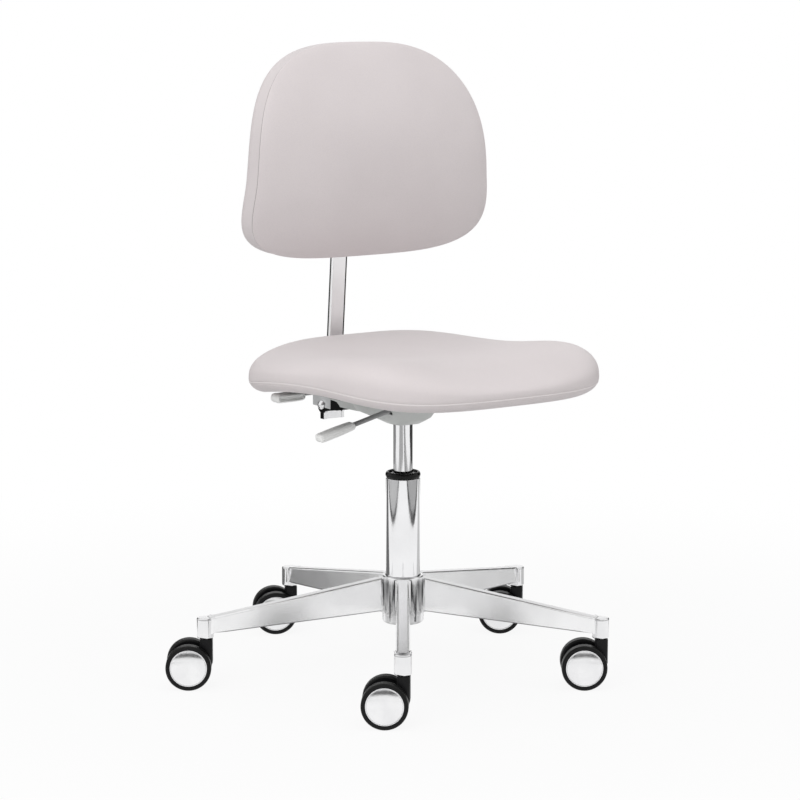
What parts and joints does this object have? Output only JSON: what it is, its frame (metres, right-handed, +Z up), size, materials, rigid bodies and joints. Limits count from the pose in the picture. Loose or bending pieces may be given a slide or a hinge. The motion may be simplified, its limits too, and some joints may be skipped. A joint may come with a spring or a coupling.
{
  "type": "swivel clinic chair",
  "caption": "Swivel clinic chair: padded contoured seat and curved backrest on a flat bar, gas-spring height, tilting back and a polished star base on castors.",
  "frame": {"origin": "on the floor, on the axis of the column", "axes": "+Z up; the sitter faces -Y and has +X on the left hand, so the levers are towards -X"},
  "size_m": [0.6538, 0.6362, 0.9169],
  "materials": {
    "chrome": "polished",
    "polished_aluminium": "polished",
    "bright_steel": "polished",
    "grey_steel": "satin",
    "black_nylon": "satin",
    "black_rubber": "matte",
    "pale_grey_plastic": "satin",
    "grey_bush_plastic": "satin",
    "pale_grey_upholstery": "satin",
    "plywood": "matte"
  },
  "bodies": {
    "base": {"star_base": "polished_aluminium", "column_tube": "chrome", "column_bush": "grey_bush_plastic", "column_collar": "black_rubber", "thrust_bearing": "grey_steel"},
    "swivel": {"piston_rod": "bright_steel", "retaining_clip": "grey_steel"},
    "seat": {"pressure_tube": "chrome", "mechanism_plate": "grey_steel", "mechanism_cover": "pale_grey_plastic", "tilt_pivot_bolt": "bright_steel", "seat_board": "plywood", "seat_cushion": "pale_grey_upholstery"},
    "release_button": {"release_button": "bright_steel"},
    "gas_lever": {"gas_lever_rod": "bright_steel", "gas_lever_grip": "pale_grey_plastic"},
    "tilt_lever": {"tilt_lever_rod": "bright_steel", "tilt_lever_grip": "pale_grey_plastic"},
    "back_frame": {"back_bar": "bright_steel"},
    "back_rest": {"back_sleeve": "black_nylon", "back_board": "pale_grey_plastic", "back_cushion": "pale_grey_upholstery"},
    "clamp_knob": {"clamp_knob": "black_nylon"},
    "castor_1": {"castor_1_stem": "grey_steel", "castor_1_hood": "black_nylon", "castor_1_axle": "grey_steel"},
    "castor_1_left_wheel": {"castor_1_wheel_left": "black_nylon", "castor_1_cap_left": "chrome"},
    "castor_1_right_wheel": {"castor_1_wheel_right": "black_nylon", "castor_1_cap_right": "chrome"},
    "castor_2": {"castor_2_stem": "grey_steel", "castor_2_hood": "black_nylon", "castor_2_axle": "grey_steel"},
    "castor_2_left_wheel": {"castor_2_wheel_left": "black_nylon", "castor_2_cap_left": "chrome"},
    "castor_2_right_wheel": {"castor_2_wheel_right": "black_nylon", "castor_2_cap_right": "chrome"},
    "castor_3": {"castor_3_stem": "grey_steel", "castor_3_hood": "black_nylon", "castor_3_axle": "grey_steel"},
    "castor_3_left_wheel": {"castor_3_wheel_left": "black_nylon", "castor_3_cap_left": "chrome"},
    "castor_3_right_wheel": {"castor_3_wheel_right": "black_nylon", "castor_3_cap_right": "chrome"},
    "castor_4": {"castor_4_stem": "grey_steel", "castor_4_hood": "black_nylon", "castor_4_axle": "grey_steel"},
    "castor_4_left_wheel": {"castor_4_wheel_left": "black_nylon", "castor_4_cap_left": "chrome"},
    "castor_4_right_wheel": {"castor_4_wheel_right": "black_nylon", "castor_4_cap_right": "chrome"},
    "castor_5": {"castor_5_stem": "grey_steel", "castor_5_hood": "black_nylon", "castor_5_axle": "grey_steel"},
    "castor_5_left_wheel": {"castor_5_wheel_left": "black_nylon", "castor_5_cap_left": "chrome"},
    "castor_5_right_wheel": {"castor_5_wheel_right": "black_nylon", "castor_5_cap_right": "chrome"}
  },
  "joints": [
    {"name": "seat_swivel", "type": "hinge", "parent": "base", "child": "swivel", "pos_m": [0, 0, 0.07919], "axis": [0, 0, 1], "continuous": true},
    {"name": "seat_height", "type": "slide", "parent": "swivel", "child": "seat", "axis": [0, 0, 1], "range_m": [-0.055, 0.07]},
    {"name": "gas_lever_lift", "type": "hinge", "parent": "seat", "child": "gas_lever", "pos_m": [-0.0245, -0.02, 0.39679], "axis": [0, 1, 0], "range_deg": [0, 8], "stiffness_Nm_per_rad": 1, "springref_deg": -11.46},
    {"name": "release_button_press", "type": "slide", "parent": "seat", "child": "release_button", "axis": [0, 0, -1], "range_m": [0, 0.0032]},
    {"name": "tilt_lever_turn", "type": "hinge", "parent": "seat", "child": "tilt_lever", "pos_m": [-0.0245, 0.075, 0.41379], "axis": [0, -1, 0], "range_deg": [0, 8]},
    {"name": "back_tilt", "type": "hinge", "parent": "seat", "child": "back_frame", "pos_m": [0, 0.191, 0.37119], "axis": [-1, 0, 0], "range_deg": [-2, 14]},
    {"name": "back_height", "type": "slide", "parent": "back_frame", "child": "back_rest", "axis": [0, -0.0872, 0.9962], "range_m": [-0.03, 0.04]},
    {"name": "clamp_knob_turn", "type": "hinge", "parent": "back_rest", "child": "clamp_knob", "pos_m": [0, 0.16001, 0.72544], "axis": [0, 0.9962, 0.0872], "range_deg": [-180, 180]},
    {"name": "castor_1_swivel", "type": "hinge", "parent": "base", "child": "castor_1", "pos_m": [-0.1672, -0.24788, 0.07109], "axis": [0, 0, 1], "continuous": true},
    {"name": "castor_1_left_spin", "type": "hinge", "parent": "castor_1", "child": "castor_1_left_wheel", "pos_m": [-0.18654, -0.23367, 0.03289], "axis": [-0.592, -0.8059, 0], "continuous": true},
    {"name": "castor_1_right_spin", "type": "hinge", "parent": "castor_1", "child": "castor_1_right_wheel", "pos_m": [-0.18654, -0.23367, 0.03289], "axis": [-0.592, -0.8059, 0], "continuous": true},
    {"name": "castor_2_swivel", "type": "hinge", "parent": "base", "child": "castor_2", "pos_m": [0.18408, -0.23561, 0.07109], "axis": [0, 0, 1], "continuous": true},
    {"name": "castor_2_left_spin", "type": "hinge", "parent": "castor_2", "child": "castor_2_left_wheel", "pos_m": [0.16419, -0.2222, 0.03289], "axis": [-0.5592, -0.829, 0], "continuous": true},
    {"name": "castor_2_right_spin", "type": "hinge", "parent": "castor_2", "child": "castor_2_right_wheel", "pos_m": [0.16419, -0.2222, 0.03289], "axis": [-0.5592, -0.829, 0], "continuous": true},
    {"name": "castor_3_swivel", "type": "hinge", "parent": "base", "child": "castor_3", "pos_m": [0.28097, 0.10226, 0.07109], "axis": [0, 0, 1], "continuous": true},
    {"name": "castor_3_left_spin", "type": "hinge", "parent": "castor_3", "child": "castor_3_left_wheel", "pos_m": [0.2624, 0.11746, 0.03289], "axis": [-0.6334, -0.7738, 0], "continuous": true},
    {"name": "castor_3_right_spin", "type": "hinge", "parent": "castor_3", "child": "castor_3_right_wheel", "pos_m": [0.2624, 0.11746, 0.03289], "axis": [-0.6334, -0.7738, 0], "continuous": true},
    {"name": "castor_4_swivel", "type": "hinge", "parent": "base", "child": "castor_4", "pos_m": [-0.01043, 0.29882, 0.07109], "axis": [0, 0, 1], "continuous": true},
    {"name": "castor_4_left_spin", "type": "hinge", "parent": "castor_4", "child": "castor_4_left_wheel", "pos_m": [-0.03176, 0.30983, 0.03289], "axis": [-0.4587, -0.8886, 0], "continuous": true},
    {"name": "castor_4_right_spin", "type": "hinge", "parent": "castor_4", "child": "castor_4_right_wheel", "pos_m": [-0.03176, 0.30983, 0.03289], "axis": [-0.4587, -0.8886, 0], "continuous": true},
    {"name": "castor_5_swivel", "type": "hinge", "parent": "base", "child": "castor_5", "pos_m": [-0.28742, 0.08242, 0.07109], "axis": [0, 0, 1], "continuous": true},
    {"name": "castor_5_left_spin", "type": "hinge", "parent": "castor_5", "child": "castor_5_left_wheel", "pos_m": [-0.30773, 0.0952, 0.03289], "axis": [-0.5329, -0.8462, 0], "continuous": true},
    {"name": "castor_5_right_spin", "type": "hinge", "parent": "castor_5", "child": "castor_5_right_wheel", "pos_m": [-0.30773, 0.0952, 0.03289], "axis": [-0.5329, -0.8462, 0], "continuous": true}
  ],
  "couplings": [
    {"joint": "release_button_press", "follows": "gas_lever_lift", "m_per_rad": 0.0222}
  ]
}
